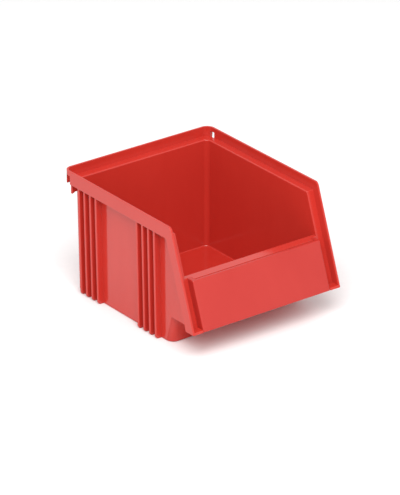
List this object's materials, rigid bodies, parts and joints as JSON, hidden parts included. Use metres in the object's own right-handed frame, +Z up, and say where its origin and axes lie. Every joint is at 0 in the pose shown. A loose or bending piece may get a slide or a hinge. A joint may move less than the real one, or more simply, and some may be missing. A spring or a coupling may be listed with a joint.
{
  "type": "stackable storage bin",
  "caption": "Open-fronted stacking bin with ribbed sides, a stepped rim, a slanted front and a slide-on label plate.",
  "frame": {"origin": "centre of the bin's footprint, on the surface it stands on", "axes": "+Z up, +Y towards the back wall, -Y towards the open front and its nose, +X across the bin to the right as seen from the front"},
  "size_m": [0.15, 0.178, 0.1077],
  "materials": {
    "moulded_body": "semi-gloss injection-moulded red polypropylene",
    "moulded_plate": "fine satin injection-moulded red polypropylene"
  },
  "bodies": {
    "bin": {"bin_body": "moulded_body"},
    "label_plate": {"label_plate": "moulded_plate"}
  },
  "joints": [
    {"name": "label_plate_slide", "type": "slide", "parent": "bin", "child": "label_plate", "axis": [0, 0.3447, 0.9387], "range_m": [0, 0.04]}
  ]
}
